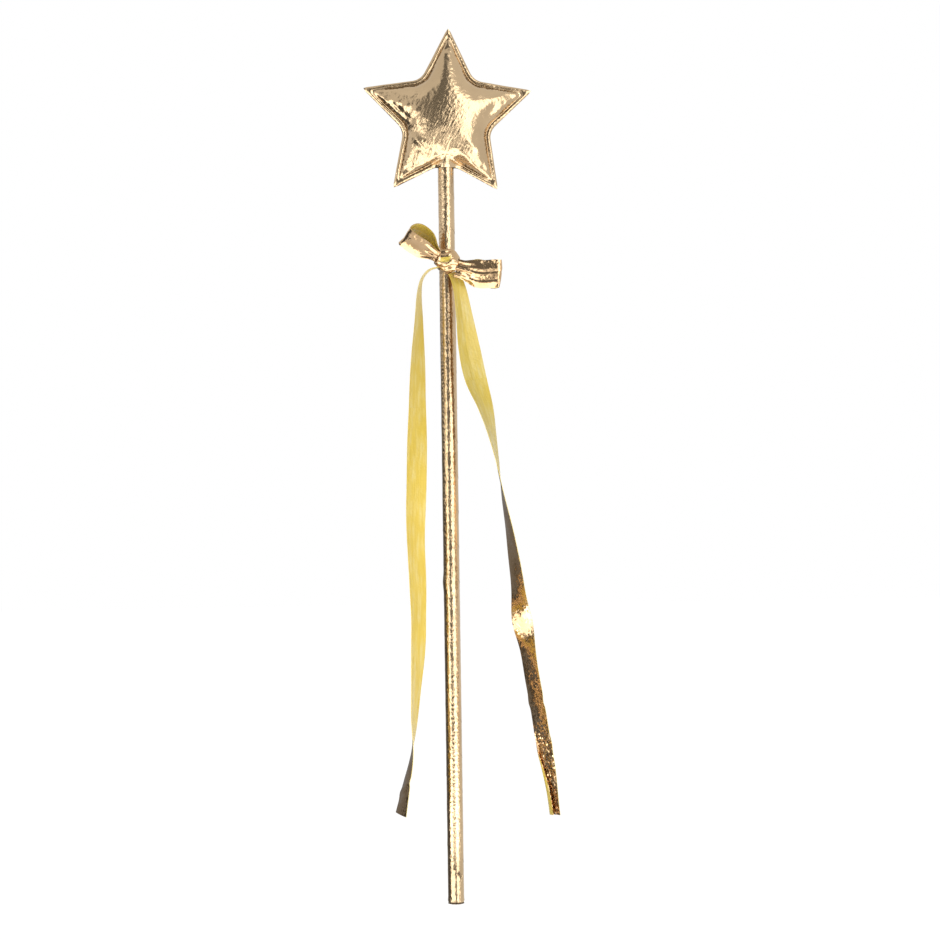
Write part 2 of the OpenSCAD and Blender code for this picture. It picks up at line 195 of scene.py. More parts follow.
floor, floor_tree, floor_matt = stage_sheet("pale_floor", level(-4, 4, -4, 4, -0.2 * MM), 0.9)
floor.visible_glossy = False
floor_share = add_node(
    floor_tree, "ShaderNodeMath", {0: seen_directly(floor_tree), 1: 0.8}, operation="MULTIPLY"
)
show_mixed(
    floor_tree, floor_share.outputs[0], floor_matt,
    add_node(floor_tree, "ShaderNodeEmission", {"Color": white, "Strength": 1.25}),
    floor_tree.nodes["Material Output"],
)


# Dowel. A plain turned hardwood stick, the core of the handle, glued inside its wrapping and pushed
# up into the filling of the star. Nothing of it shows on a finished wand.
def object_place(tree):
    """Coordinate that stays with the piece, in metres."""
    return add_node(tree, "ShaderNodeTexCoord").outputs["Object"]


def texture(tree, kind, place, give="Fac", **settings):
    """Socket of a texture on a coordinate, with its inputs and choices set by name."""
    made = add_node(tree, f"ShaderNodeTex{kind}", {"Vector": place})
    for key, value in settings.items():
        if key in made.inputs:
            made.inputs[key].default_value = value
        else:
            setattr(made, key, value)
    return made.outputs[give]


def stretched(tree, place, scale):
    """Coordinate scaled by its own amount along each axis."""
    return add_node(tree, "ShaderNodeMapping", {"Vector": place, "Scale": scale}).outputs["Vector"]


def ramp(tree, pattern, *stops):
    """Colour that runs between two stops of (place, colour)."""
    made = add_node(tree, "ShaderNodeValToRGB", {"Fac": pattern})
    for element, (place, colour) in zip(made.color_ramp.elements, stops):
        element.position = place
        element.color = (*colour, 1)
    return made.outputs["Color"]


def tint(tree, shader, pattern, *stops):
    """Base colour from a ramp."""
    tree.links.new(ramp(tree, pattern, *stops), shader.inputs["Base Color"])


def bump(tree, shader, *layers, normal=None):
    """Bump of (height socket, depth in metres) layers, one on the other."""
    for height, depth in layers:
        made = add_node(tree, "ShaderNodeBump", {"Height": height, "Distance": depth, "Strength": 1.0})
        if normal is not None:
            tree.links.new(normal, made.inputs["Normal"])
        normal = made.outputs["Normal"]
    tree.links.new(normal, shader.inputs["Normal"])


def plain_finish(name, even, kind, dark, pale, depth=0, stretch=(1, 1, 1), **settings):
    """Finish with one pattern, which runs its colour between two stops and gives its relief."""
    finish, tree, shader = new_finish(name, even)
    pattern = texture(tree, kind, stretched(tree, object_place(tree), stretch), **settings)
    tint(tree, shader, pattern, dark, pale)
    if depth:
        bump(tree, shader, (pattern, depth))
    return finish


dowel_wood = plain_finish(
    "dowel_wood", {"Roughness": 0.6}, "Noise", (0.3, (0.48, 0.30, 0.15)), (0.7, (0.68, 0.47, 0.26)),
    0.05 * MM, stretch=(900, 900, 25), Scale=1.0, Detail=6.0, Roughness=0.6,
)
dowel_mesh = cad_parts["stick_core"].data
dowel_mesh.materials.clear()
dowel_mesh.materials.append(dowel_wood)


# Leathercloth. A thin knit with a gold foil skin pressed on it, used for the wrapping and the star.
# The skin is fine grained and crackles a little where it is bent, which breaks its reflections up. A cut
# edge shows the knit, coloured dark also as painted shade along the rims, such as the dark line at the foot.
gold_skin, gold_shade = (0.58, 0.425, 0.255), 0.86
skin_grain, skin_roughness = 0.9 * MM, 0.17


def span(tree, source, low, high, between=(0.0, 1.0), course="LINEAR"):
    """Socket that runs from low to high while its source runs between two values."""
    return add_node(tree, "ShaderNodeMapRange", {
        "Value": source, "From Min": between[0], "From Max": between[1], "To Min": low, "To Max": high,
    }, interpolation_type=course).outputs["Result"]


def gold_leathercloth(name, grain_depth, wrinkles=None):
    """Foil skin on Object coordinates, with grain, crackle and slow changes of tone."""
    finish, tree, foil = new_finish(name, {"Metallic": 1.0})
    place = object_place(tree)
    tone = texture(tree, "Noise", place, Scale=1 / (14 * MM), Detail=3.0)
    grain = texture(tree, "Noise", place, Scale=1 / skin_grain, Detail=4.0, Roughness=0.65)
    pebble = texture(tree, "Noise", place, Scale=1 / (1.7 * skin_grain), Detail=0.0)
    crackle = texture(
        tree, "Voronoi", place, "Distance", feature="DISTANCE_TO_EDGE", Scale=1 / (1.6 * skin_grain),
        Randomness=1.0,
    )
    tint(tree, foil, tone, (0.35, [gold_shade * c for c in gold_skin]), (0.65, gold_skin))
    tree.links.new(span(tree, grain, skin_roughness - 0.06, skin_roughness + 0.08), foil.inputs["Roughness"])
    layers = [wrinkles(tree, place)] if wrinkles else []
    layers += [(crackle, 0.5 * grain_depth), (pebble, 1.3 * grain_depth), (grain, 0.7 * grain_depth)]
    bump(tree, foil, *layers)
    return finish


wrap_foil = gold_leathercloth("wrap_foil", 0.15 * MM)

# Cut edges: the knit, darkened also to paint the shade along the rims, most of all at the foot of the stick.
cut_edge_knit_and_shade = plain_finish(
    "cut_edge_knit_and_shade", {"Roughness": 0.85}, "Noise", (0.3, (0.06, 0.036, 0.016)), (0.7, (0.16, 0.10, 0.05)),
    Scale=1 / (0.4 * MM), Detail=4.0,
)


# Wrapping. One long strip of leathercloth wound up the glued dowel in a left-handed spiral, each turn
# lapping a little over the one below, so that its lower edge stands proud as a slanting seam.
def tree_maker(name, inputs):
    """Geometry Nodes tree with named inputs, and short calls that add and join its nodes."""
    group = bpy.data.node_groups.new(name, "GeometryNodeTree")
    group.interface.new_socket("Geometry", in_out="OUTPUT", socket_type="NodeSocketGeometry")
    group.interface.new_socket("Geometry", in_out="INPUT", socket_type="NodeSocketGeometry")
    for label, value in inputs.items():
        kind = "NodeSocketInt" if isinstance(value, int) else "NodeSocketFloat"
        group.interface.new_socket(label, in_out="INPUT", socket_type=kind).default_value = value
    start = add_node(group, "NodeGroupInput")

    def add(kind, sockets=(), **settings):
        return add_node(group, kind, sockets, **settings)

    def close(geometry, finish):
        """Ends the tree in plain geometry with its material."""
        whole = add("GeometryNodeRealizeInstances", {0: geometry})
        painted = add("GeometryNodeSetMaterial", {"Geometry": whole.outputs[0], "Material": finish})
        add("NodeGroupOutput", {0: painted.outputs[0]})
        return group

    return start.outputs, add, close


def run_tree(name, group, base=None):
    """Plain mesh object with the result of a Geometry Nodes tree."""
    maker = placed(f"{name}_maker", base or bpy.data.meshes.new(f"{name}_maker"))
    maker.modifiers.new("tree", "NODES").node_group = group
    bpy.context.view_layer.update()
    made = bpy.data.meshes.new_from_object(maker.evaluated_get(bpy.context.evaluated_depsgraph_get()))
    bpy.data.objects.remove(maker)
    made.name = name
    return placed(name, made)


wrap_low, wrap_high, wrap_pitch = 18.8 * MM, 413.1 * MM, 19.2 * MM
wrap_turns = 1 + (wrap_high - wrap_low) / wrap_pitch
wrap_in, wrap_add, wrap_close = tree_maker("spiral_wrapping", {
    "Turns": wrap_turns,
    "Pitch": wrap_pitch,
    "Lowest": wrap_low,
    "Highest": wrap_high,
    "Radius": 4.42 * MM,
    "Lap": 1.6 * MM,
    "Lap Rise": 0.06 * MM,
    "Start Angle": math.radians(110),
    "Crumple": 0.2 * MM,
    "Crumple Length": 6 * MM,
    "Lump": 0.5 * MM,
    "Lump Height": 177 * MM,
    "Lump Reach": 4 * MM,
    "Lump Angle": math.radians(200),
    "Flat End": 8 * MM,
    "Steps": int(wrap_turns * 48),
})


def wrap_sum(operation):
    """Short call that adds one kind of sum to the tree of the wrapping."""
    def result(*values):
        return wrap_add("ShaderNodeMath", enumerate(values), operation=operation).outputs[0]
    return result


plus, less, times, divided = map(wrap_sum, ("ADD", "SUBTRACT", "MULTIPLY", "DIVIDE"))
times_plus, smaller, larger = map(wrap_sum, ("MULTIPLY_ADD", "MINIMUM", "MAXIMUM"))
raised, exponent, cosine, sine = map(wrap_sum, ("POWER", "EXPONENT", "COSINE", "SINE"))
wrap_grid = wrap_add("GeometryNodeMeshGrid", {
    "Size X": 1.0, "Size Y": 1.0, "Vertices X": wrap_in["Steps"], "Vertices Y": 13,
})
wrap_place = wrap_add("ShaderNodeSeparateXYZ", {0: wrap_add("GeometryNodeInputPosition").outputs[0]})
along_wrap = plus(wrap_place.outputs["X"], 0.5)
across_wrap = plus(wrap_place.outputs["Y"], 0.5)
turns_up = times(along_wrap, wrap_in["Turns"])
wrap_angle = less(wrap_in["Start Angle"], times(turns_up, 2 * math.pi))
upper_edge = times_plus(turns_up, wrap_in["Pitch"], wrap_in["Lowest"])
lower_edge = less(less(upper_edge, wrap_in["Pitch"]), wrap_in["Lap"])
upper_edge = smaller(upper_edge, wrap_in["Highest"])
lower_edge = smaller(larger(lower_edge, wrap_in["Lowest"]), wrap_in["Highest"])
wrap_z = times_plus(across_wrap, less(upper_edge, lower_edge), lower_edge)
lap_share = raised(less(1.0, across_wrap), 10.0)
off_end = divided(less(lower_edge, wrap_in["Lowest"]), wrap_in["Lap"])
lap_share = times(lap_share, smaller(off_end, 1.0))
wrap_noise = wrap_add("ShaderNodeTexNoise", {
    "Vector": wrap_add("ShaderNodeCombineXYZ", {
        0: times(wrap_angle, 0.9),
        1: divided(wrap_z, wrap_in["Crumple Length"]),
        2: 3.7,
    }).outputs[0],
    "Scale": 1.0, "Detail": 2.0,
})
crumple = times(less(wrap_noise.outputs[0], 0.5), wrap_in["Crumple"])
above_end = divided(less(wrap_z, wrap_in["Lowest"]), wrap_in["Flat End"])
crumple = times(crumple, smaller(above_end, 1.0))
lump_turn = cosine(less(wrap_angle, wrap_in["Lump Angle"]))
lump_off = divided(less(wrap_z, wrap_in["Lump Height"]), wrap_in["Lump Reach"])
lump_share = times(raised(larger(lump_turn, 0.0), 2.0), exponent(times(times(lump_off, lump_off), -1.0)))
crumple = times_plus(lump_share, wrap_in["Lump"], crumple)
wrap_radius = plus(times_plus(lap_share, wrap_in["Lap Rise"], wrap_in["Radius"]), crumple)
wrap_at = wrap_add("ShaderNodeCombineXYZ", {
    0: times(cosine(wrap_angle), wrap_radius), 1: times(sine(wrap_angle), wrap_radius), 2: wrap_z,
})
wrap_set = wrap_add("GeometryNodeSetPosition", {
    "Geometry": wrap_grid.outputs["Mesh"], "Position": wrap_at.outputs[0],
})
stick_wrapping = run_tree("stick_wrapping", wrap_close(wrap_set.outputs[0], wrap_foil))


def face_out(piece, middle=None):
    """Turns a surface over if its faces look towards a middle, which is the stick where none is given."""
    face = piece.data.polygons[len(piece.data.polygons) // 2]
    inner = Vector((0, 0, face.center.z)) if middle is None else Vector(middle)
    if face.normal.dot(face.center - inner) < 0:
        piece.data.flip_normals()


def smooth(piece, sharp_degrees=40):
    """Smooth shading, with edges over an angle kept sharp."""
    piece.data.shade_smooth()
    piece.data.set_sharp_from_angle(angle=math.radians(sharp_degrees))


def thicken(piece, thickness, edge_finish=None):
    """Gives a cloth surface its thickness on the inner side, and its cut edges their own finish."""
    edges = np.zeros(len(piece.data.loops), np.int32)
    piece.data.loops.foreach_get("edge_index", edges)
    for i in np.where(np.bincount(edges) == 1)[0]:
        piece.data.edges[int(i)].use_edge_sharp = True
    solid = piece.modifiers.new("cloth", "SOLIDIFY")
    if edge_finish:
        piece.data.materials.append(edge_finish)
        solid.material_offset_rim = len(piece.data.materials) - 1
    solid.thickness = thickness
    solid.offset = -1.0
    solid.use_even_offset = False


wrap_thickness = 0.28 * MM
face_out(stick_wrapping)
smooth(stick_wrapping)
thicken(stick_wrapping, wrap_thickness, cut_edge_knit_and_shade)
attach(stick_wrapping, "wand")
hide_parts("stick_wrap")


# End turn. The strip starts with one level turn round the foot of the stick. Its own end is glued down
# over it as an upright lap, and one corner of that end has come loose and stands off as a small curl.
def run_along(points):
    """Distance of each point from the first, along the line that they make."""
    return np.r_[0, np.cumsum(np.linalg.norm(np.diff(points, axis=0), axis=1))]


def cloth_grid(name, points, finishes, finish_of=None, closed=False, capped=0, uv=None):
    """Mesh from rows of points, with UV in metres along and across the cloth."""
    rows, cols = points.shape[:2]
    faces = [
        (r * cols + c, r * cols + (c + 1) % cols, (r + 1) * cols + (c + 1) % cols, (r + 1) * cols + c)
        for r in range(rows - 1) for c in range(cols if closed else cols - 1)
    ]
    last = (rows - 1) * cols
    for c in range(capped):
        faces.append((c, cols - 1 - c, cols - 2 - c, c + 1))
        faces.append((last + c, last + c + 1, last + cols - 2 - c, last + cols - 1 - c))
    mesh = bpy.data.meshes.new(name)
    mesh.from_pydata(points.reshape(-1, 3).tolist(), [], faces)
    for finish in finishes:
        mesh.materials.append(finish)
    along, across = uv or (run_along(points[:, cols // 2]), run_along(points[rows // 2]))
    grid = np.stack(np.meshgrid(along, across, indexing="ij"), -1).reshape(-1, 2)
    corners = np.zeros(len(mesh.loops), np.int32)
    mesh.loops.foreach_get("vertex_index", corners)
    mesh.uv_layers.new(name="cloth").data.foreach_set("uv", grid[corners].astype(np.float32).ravel())
    if finish_of is not None:
        for polygon in mesh.polygons:
            polygon.material_index = finish_of(polygon)
    return placed(name, mesh)


def ease(x):
    x = np.clip(x, 0.0, 1.0)
    return x * x * (3 - 2 * x)


def sind(degrees):
    return np.sin(np.radians(degrees))


def cosd(degrees):
    return np.cos(np.radians(degrees))


def round_stick(angle, radius, height):
    """Points in mm round the middle of the stick."""
    return np.stack(np.broadcast_arrays(radius * cosd(angle), radius * sind(angle), height), -1)


end_radius, end_low, end_high = 4.415, 1.25, 19.1
lap_angle, lap_over, lap_end, loose_angle = 22.0, 40.0, -48.0, 30.0
lap_rise, curl_out, curl_drop, end_slant = 0.34, 1.1, 0.5, 2.4
around_end = np.linspace(0, 360 + lap_over, 90)
turn_deg = lap_end - (360 + lap_over) + around_end
over = ease((around_end - 360 + lap_angle) / lap_angle)
loose = ease((around_end - 360 - lap_over + loose_angle) / loose_angle)
end_rows = []
for share in np.linspace(0, 1, 17):
    z = end_low + (end_high - end_low) * share
    foot = -0.16 * (1 - ease((z - end_low) / 0.8)) + 0.2 * np.exp(-((z - end_low - 1.2) / 0.9) ** 2)
    curl = loose * ease((share - 0.72) / 0.28)
    wave = 0.05 * sind(3 * turn_deg + 40) * share * (1 - share)
    tucked = 0.035 * ease((z - 16.5) / 2)
    radius = end_radius + foot + lap_rise * over + curl_out * curl + wave + tucked
    end_rows.append(round_stick(turn_deg, radius, z - curl_drop * curl - end_slant * loose * share))
end_turn = cloth_grid("end_turn", np.array(end_rows) * MM, [wrap_foil])
face_out(end_turn)
smooth(end_turn)
thicken(end_turn, wrap_thickness, cut_edge_knit_and_shade)
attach(end_turn, "wand")
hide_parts("wrap_end_turn")


# End disc. A round of the same leathercloth glued over the sawn end of the dowel, its edge pleated
# where it is drawn in under the wrapping.
disc_radius, disc_rise, disc_pleats = 4.4, 0.5, 14
disc_turn = np.linspace(0, 360, 85)[:-1]
disc_rows = []
for share in np.linspace(0.02, 1, 12):
    pleat = 0.1 * ease((share - 0.55) / 0.45) * cosd(disc_pleats * disc_turn)
    rise = disc_rise * ease((share - 0.5) / 0.5) ** 1.5 + pleat
    disc_rows.append(round_stick(disc_turn, disc_radius * share, np.maximum(rise, 0)))
end_disc = cloth_grid("end_disc", np.array(disc_rows) * MM, [wrap_foil], closed=True)
face_out(end_disc, (0, 0, 5 * MM))
smooth(end_disc)
# The thick dark rim of the disc paints the shade round the foot of the stick.
thicken(end_disc, 0.7 * MM, cut_edge_knit_and_shade)
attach(end_disc, "wand")
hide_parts("stick_end_disc")


# Star. Two star-shaped panels of leathercloth sewn together near their edges, turned nowhere, so that
# the raw double edge stands out as a flat flange. The filling swells the panels between the seams.
star_height, star_shift, star_turn = 433.0, 0.9, -1.8
tip_r, notch_r, flange_w, panel_t, star_depth = 48.4, 25.9, 2.5, 0.8, 26.0
tip_soft, tip_blunt, sewn_tip_soft, notch_soft, notch_deep = 0.7, 0.75, 1.2, 9.0, 0.9
neck_r, neck_half = 28.0, 16.0
sector, half_sector = 72.0, 36.0


def from_tip(a):
    return np.abs(np.mod(a, sector) - half_sector)


arm_half = math.degrees(math.atan2(notch_r * sind(half_sector), tip_r - notch_r * cosd(half_sector)))


def half_outline(inset, tip_round, notch_round):
    """Angle and radius of a half arm from its tip to its notch, drawn in by an inset, corners rounded."""
    notch_half = arm_half + half_sector
    sweep = notch_round + inset
    tip = tip_r + tip_blunt - (inset + tip_round) / sind(arm_half)
    notch = notch_r - notch_deep + notch_round / sind(notch_half)
    at_tip = np.linspace(0, 90 - arm_half, 12)
    at_notch = half_sector + np.linspace(90 - notch_half, 0, 24)
    x = np.r_[tip + tip_round * cosd(at_tip), notch * cosd(half_sector) - sweep * cosd(at_notch)]
    z = np.r_[tip_round * sind(at_tip), notch * sind(half_sector) - sweep * sind(at_notch)]
    run = run_along(np.stack([x, z], -1))
    fine = np.linspace(0, run[-1], 400)
    x, z = np.interp(fine, run, x), np.interp(fine, run, z)
    return np.degrees(np.arctan2(z, x)), np.hypot(x, z)


cut_line = half_outline(0.0, tip_soft, notch_soft)
sewn_line = half_outline(flange_w, sewn_tip_soft, notch_soft)


def star_edge(a):
    """Distance from the star's centre to the cut edge, at an angle from the lower notch."""
    edge = np.interp(from_tip(a), *cut_line)
    off_neck = np.minimum(np.abs(np.mod(a + 180, 360) - 180), 30)
    return np.where(off_neck < neck_half, np.maximum(edge, neck_r / cosd(off_neck)), edge)


def seam_r(a):
    return np.interp(from_tip(a), *sewn_line)


def off_seam(a, r):
    """Distance of a place inside the star from the nearest stretch of its seam."""
    return (seam_r(a) - r) * cosd(90 - arm_half - from_tip(a))


def star_place(a, r):
    """Right and up from the star's place on the stick, in mm."""
    at = a - 90 + star_turn
    return np.stack([star_shift + r * cosd(at), r * sind(at)], -1)


def star_polar(p):
    """Angle from the lower notch and distance from the centre."""
    x, z = p[..., 0] - star_shift, p[..., 1]
    return np.degrees(np.arctan2(z, x)) + 90 - star_turn, np.hypot(x, z)


def stick_tunnel(p):
    """Rise of the panels over the stick where it goes into the star."""
    half_w, rise = 9.0, 5.1
    low = ease((-p[..., 1] - 5) / 10)
    return np.where(np.abs(p[..., 0]) < half_w, low * rise * cosd(90 * p[..., 0] / half_w) ** 2, 0.0)


seam_step, row_share = 1.25, 0.866
seam_angles = []
for k in range(10):
    fine = np.linspace(k * half_sector, (k + 1) * half_sector, 200)
    run = run_along(star_place(fine, seam_r(fine)))
    seam_angles.append(np.interp(np.linspace(0, run[-1], round(run[-1] / seam_step) + 1)[:-1], run, fine))
seam_angles = np.concatenate(seam_angles)
seam_n = len(seam_angles)
seam_points = star_place(seam_angles, seam_r(seam_angles))
edge_points = star_place(seam_angles, star_edge(seam_angles))
weave_rows, weave_cols = int(tip_r / (seam_step * row_share)) + 1, 45
weave = np.array([
    (star_shift + (i + 0.5 * (j % 2)) * seam_step, j * seam_step * row_share)
    for j in range(-weave_rows, weave_rows + 1) for i in range(-weave_cols, weave_cols + 1)
])
panel_flat = np.r_[seam_points, weave[off_seam(*star_polar(weave)) > 0.6 * seam_step]]
panel_n = len(panel_flat)
seam_loop = [(i, (i + 1) % seam_n) for i in range(seam_n)]
panel_faces = [
    tuple(f) for f in delaunay_2d_cdt([Vector(p) for p in panel_flat], seam_loop, [], 1, 1e-6)[2]
]


def membrane():
    """Height of a skin held at the seam and blown up evenly, from 0 to 1."""
    pull = np.zeros((panel_n, panel_n))
    for face in panel_faces:
        for k in range(3):
            i, j, o = face[k], face[(k + 1) % 3], face[(k + 2) % 3]
            u, v = panel_flat[i] - panel_flat[o], panel_flat[j] - panel_flat[o]
            weight = (u @ v) / abs(u[0] * v[1] - u[1] * v[0]) / 2
            pull[i, j] -= weight
            pull[j, i] -= weight
            pull[i, i] += weight
            pull[j, j] += weight
    free = np.arange(seam_n, panel_n)
    rise = np.zeros(panel_n)
    rise[free] = np.linalg.solve(pull[np.ix_(free, free)], np.ones(len(free)))
    return rise / rise.max()


flange_rows = 8
star_flat = np.r_[
    panel_flat,
    *[seam_points + (edge_points - seam_points) * (k + 1) / flange_rows for k in range(flange_rows)],
]
star_faces = list(panel_faces)
for k in range(flange_rows):
    low_ring = 0 if k == 0 else panel_n + (k - 1) * seam_n
    high_ring = panel_n + k * seam_n
    star_faces += [(low_ring + i, high_ring + i, high_ring + j, low_ring + j) for i, j in seam_loop]
across_flange = np.r_[
    np.zeros(panel_n), np.repeat(np.arange(1, flange_rows + 1) / flange_rows, seam_n)
]
flange_swell, edge_drop = 0.55, 0.25
flange_puff = flange_swell * sind(180 * across_flange) - edge_drop * across_flange ** 2
seam_run = run_along(seam_points)
seam_wave = 0.3 * np.sin(seam_run / 2.3) * np.sin(seam_run / 9.7 + 1) + 0.25 * np.sin(seam_run / 5.1 + 2)
flange_wave = np.r_[np.zeros(panel_n), np.tile(seam_wave, flange_rows)] * ease(across_flange)
puff, fullness = star_depth / 2 - panel_t, 0.9
tunnel_rise = stick_tunnel(star_flat)
star_rise = tunnel_rise + flange_puff
star_rise[:panel_n] = ((puff * fullness * np.sqrt(membrane())) ** 4 + tunnel_rise[:panel_n] ** 4) ** 0.25
star_points = np.stack([star_flat[:, 0], -star_rise, star_flat[:, 1] + star_height], -1) * MM

# The cloth is cut a little full in the lower half and under the side arms, where it lies in wrinkles.
right_of, above = star_flat[:, 0] - star_shift, star_flat[:, 1]
under_arm = ease((0.38 * np.abs(right_of) - above) / 8) * ease((np.abs(right_of) - 6) / 8)
slack = np.maximum(ease((-above - 4) / 14), under_arm * np.where(right_of < 0, 0.9, 0.6))


def panel_sheet(name, points):
    """Object with the mesh of a star panel."""
    mesh = bpy.data.meshes.new(name)
    mesh.from_pydata(points.tolist(), [], star_faces)
    return placed(name, mesh)


def stuffed(points, frames=20):
    """Points of the panel blown up with Cloth, its seam and flange held."""
    piece = panel_sheet("star_trial", points)
    held = piece.vertex_groups.new(name="seam")
    held.add([*range(seam_n), *range(panel_n, len(points))], 1.0, "REPLACE")
    loose_cloth = piece.vertex_groups.new(name="slack")
    for i, weight in enumerate(slack):
        loose_cloth.add([i], float(weight), "REPLACE")
    cloth = piece.modifiers.new("cloth", "CLOTH")
    for setting, value in {
        "quality": 8, "mass": 0.0005, "tension_stiffness": 900, "compression_stiffness": 150,
        "shear_stiffness": 300, "bending_stiffness": 0.01,
        "tension_damping": 5, "compression_damping": 5, "shear_damping": 5, "air_damping": 2,
        "vertex_group_mass": "seam", "use_pressure": True, "uniform_pressure_force": 1000,
        "vertex_group_shrink": "slack", "shrink_min": -0.008, "shrink_max": -0.09,
    }.items():
        setattr(cloth.settings, setting, value)
    cloth.settings.effector_weights.gravity = 0
    cloth.collision_settings.use_collision = False
    cloth.collision_settings.use_self_collision = False
    cloth.point_cache.frame_start = 1
    cloth.point_cache.frame_end = frames
    for step in range(1, frames + 1):
        scene.frame_set(step)
    made = piece.evaluated_get(bpy.context.evaluated_depsgraph_get())
    blown = np.zeros(points.size, np.float32)
    made.data.vertices.foreach_get("co", blown)
    bpy.data.objects.remove(piece)
    scene.frame_set(1)
    return blown.reshape(-1, 3).astype(float)


star_points = stuffed(star_points)
crown = -star_points[:panel_n, 1].min()
star_points[:panel_n, 1] *= 1 + (puff * MM / crown - 1) * (1 - ease(tunnel_rise[:panel_n] / 1.5))
star_points[:, 1] -= panel_t * MM

# Folds that the sewing leaves: from and to, in mm right of and above the star's centre, height and width.
panel_folds = [
    (-20.5, -9.0, -9.0, -21.0, 1.1, 1.7), (-15.5, -18.5, -18.8, -33.0, 1.0, 1.5),
    (-9.0, -24.0, -20.0, -31.5, 0.9, 1.3), (-23.5, -14.0, -24.5, -30.0, -0.8, 1.6),
    (10.0, -14.0, 21.5, -21.0, 0.9, 1.8), (19.0, -17.0, 25.5, -27.5, -0.8, 1.6),
    (10.0, -24.0, 23.5, -33.5, 0.9, 1.4), (3.5, -17.5, 15.0, -25.5, 0.7, 1.6),
    (-4.0, -17.0, -13.0, -26.0, -0.7, 1.8), (-37.0, 11.0, -22.0, -3.5, 1.2, 1.5),
    (-32.0, 9.0, -19.0, -3.5, -0.7, 1.4), (24.5, -3.0, 35.5, 7.0, 1.1, 1.6),
    (21.0, -1.0, 28.0, 6.5, -0.7, 1.5), (-4.5, 36.0, 3.5, 32.5, 0.35, 1.4),
    (-30.0, 4.0, -25.5, 9.5, 0.5, 1.1), (-26.0, 0.5, -20.5, 7.5, 0.5, 1.1),
    (-22.0, -3.0, -15.0, 5.0, 0.5, 1.2), (-19.0, -6.5, -12.0, 1.0, 0.4, 1.2),
]
fold_strength, fold_clear = 1.3, 2.0
fold_rise = np.zeros(len(star_points))
for x0, z0, x1, z1, height, width in panel_folds:
    line = np.array([x1 - x0, z1 - z0])
    off = np.stack([right_of - x0, above - z0], -1)
    along_fold = off @ line / (line @ line)
    beside = np.abs(off[:, 0] * line[1] - off[:, 1] * line[0]) / np.linalg.norm(line)
    taper = np.sin(np.pi * np.clip(along_fold, 0, 1)) ** 0.7
    fold_rise += fold_strength * height * taper * np.exp(-((beside / width) ** 2))
fold_rise[:panel_n] *= ease(off_seam(*star_polar(panel_flat)) / fold_clear)
fold_rise[panel_n:] = 0
star_points[:, 1] -= fold_rise * MM


def vector_calc(tree, operation, sockets):
    made = add_node(tree, "ShaderNodeVectorMath", sockets, operation=operation)
    return made.outputs["Value" if operation == "DISTANCE" else "Vector"]


def fine_wrinkles(tree, place):
    """Short slanting creases of the foil, thickest left of and below the middle of the star."""
    turned = add_node(tree, "ShaderNodeMapping", {"Vector": place, "Rotation": (0, math.radians(-27), 0)})
    strokes = texture(
        tree, "Noise", stretched(tree, turned.outputs["Vector"], (1 / (0.85 * MM), 40, 1 / (5.5 * MM))),
        Scale=1.0, Detail=3.0,
    )
    away = vector_calc(tree, "DISTANCE", {0: place, 1: (-5 * MM, -11 * MM, 421 * MM)})
    near = span(tree, away, 0.0, 1.0, (30 * MM, 8 * MM), "SMOOTHSTEP")
    masked = add_node(tree, "ShaderNodeMath", {0: strokes, 1: near}, operation="MULTIPLY")
    return masked.outputs[0], 0.35 * MM


star_foil = gold_leathercloth("star_foil", 0.09 * MM, fine_wrinkles)


def star_panel(name, points, node):
    panel = panel_sheet(name, points)
    mesh = panel.data
    mesh.materials.append(star_foil)
    if (mesh.polygons[0].normal.y > 0) == (points[:, 1].mean() < 0):
        mesh.flip_normals()
    mesh.shade_smooth()
    corners = mesh.attributes.new("crease_vert", "FLOAT", "POINT")
    last_ring = len(points) - seam_n
    for i in np.where(from_tip(seam_angles) < 0.01)[0]:
        corners.data[last_ring + int(i)].value = 1.0
    fine = panel.modifiers.new("fine", "SUBSURF")
    fine.levels = fine.render_levels = 1
    thicken(panel, 0.4 * MM, cut_edge_knit_and_shade)
    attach(panel, "wand")
    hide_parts(node)
    return panel


waving = np.stack([0 * flange_wave, flange_wave, 0 * flange_wave], -1) * MM
star_front = star_panel("star_front", star_points + waving, "star_front_panel")
star_panel("star_back", star_points * [1, -1, 1] + waving, "star_back_panel")


# Filling. Loose polyester fibre pushed in before the last stretch of seam is sewn. It fills the panels
# and grips the end of the stick.
filling_finish = plain_finish(
    "white_filling", {"Roughness": 0.9, "Sheen Weight": 0.3}, "Noise", (0.3, (0.78, 0.78, 0.76)),
    (0.7, (0.93, 0.93, 0.91)), 0.4 * MM, Scale=1 / (0.8 * MM), Detail=8.0,
)
fill_share, fill_clear = 0.86, 1.8
fill_rise = np.maximum(0, -star_points[:panel_n, 1] / MM - fill_clear)
fill_rise[:seam_n] = 0
fill_front = np.stack([
    star_shift + (panel_flat[:, 0] - star_shift) * fill_share,
    -fill_rise * fill_share,
    star_height + panel_flat[:, 1] * fill_share,
], -1)
fill_back = fill_front[seam_n:] * [1, -1, 1]
fill_faces = list(panel_faces) + [
    tuple(i if i < seam_n else i + panel_n - seam_n for i in reversed(face)) for face in panel_faces
]
fill_mesh = bpy.data.meshes.new("star_stuffing")
fill_mesh.from_pydata((np.r_[fill_front, fill_back] * MM).tolist(), [], fill_faces)
fill_mesh.materials.append(filling_finish)
fill_mesh.shade_smooth()
star_stuffing = placed("star_stuffing", fill_mesh)
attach(star_stuffing, "wand")
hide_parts("star_filling")


# Seam. A row of machine stitches runs along the middle of the flange, needle thread in front and bobbin
# thread behind, and a short second row closes the front over the stick.
thread_finish = plain_finish(
    "gold_thread", {"Roughness": 0.45, "Sheen Weight": 0.2}, "Wave", (0.2, (0.16, 0.10, 0.045)),
    (0.8, (0.42, 0.28, 0.12)), 0.03 * MM, Scale=1 / (0.5 * MM), Distortion=2.0, bands_direction="DIAGONAL",
)

